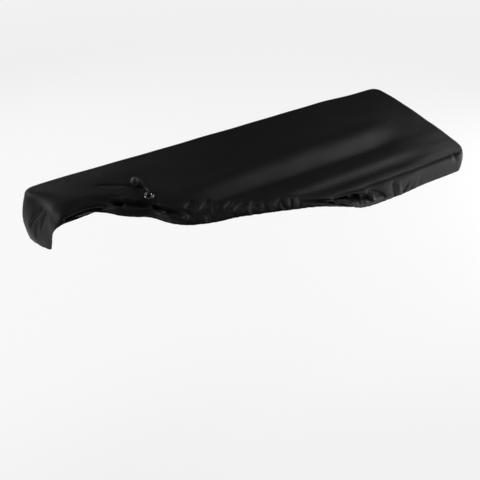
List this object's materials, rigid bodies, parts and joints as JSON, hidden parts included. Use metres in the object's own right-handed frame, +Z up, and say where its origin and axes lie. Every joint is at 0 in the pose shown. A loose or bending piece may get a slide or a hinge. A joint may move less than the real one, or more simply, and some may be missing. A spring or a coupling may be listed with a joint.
{
  "type": "keyboard dust cover",
  "caption": "Fitted stretch fabric dust cover for a portable keyboard, elastic hem, drawcord and ball cord lock, front left corner pulled back.",
  "frame": {"origin": "the point on the inner face of the top cloth where the keyboard's top holds the cover up, near the middle of its length", "axes": "+X along the length towards the right end, +Y towards the back, +Z up"},
  "size_m": [1.128, 0.3996, 0.1325],
  "materials": {
    "cloth": "black knitted stretch fabric with a soft sheen",
    "eyelet": "glossy black",
    "lock": "satin dark grey",
    "cord": "black braided elastic"
  },
  "bodies": {
    "root": {"cover_cloth": "cloth", "eyelet": "eyelet", "cord_lock": "lock", "drawcord_left": "cord", "drawcord_right": "cord", "cord_tail_side": "cord", "cord_tail_front": "cord"}
  },
  "joints": []
}
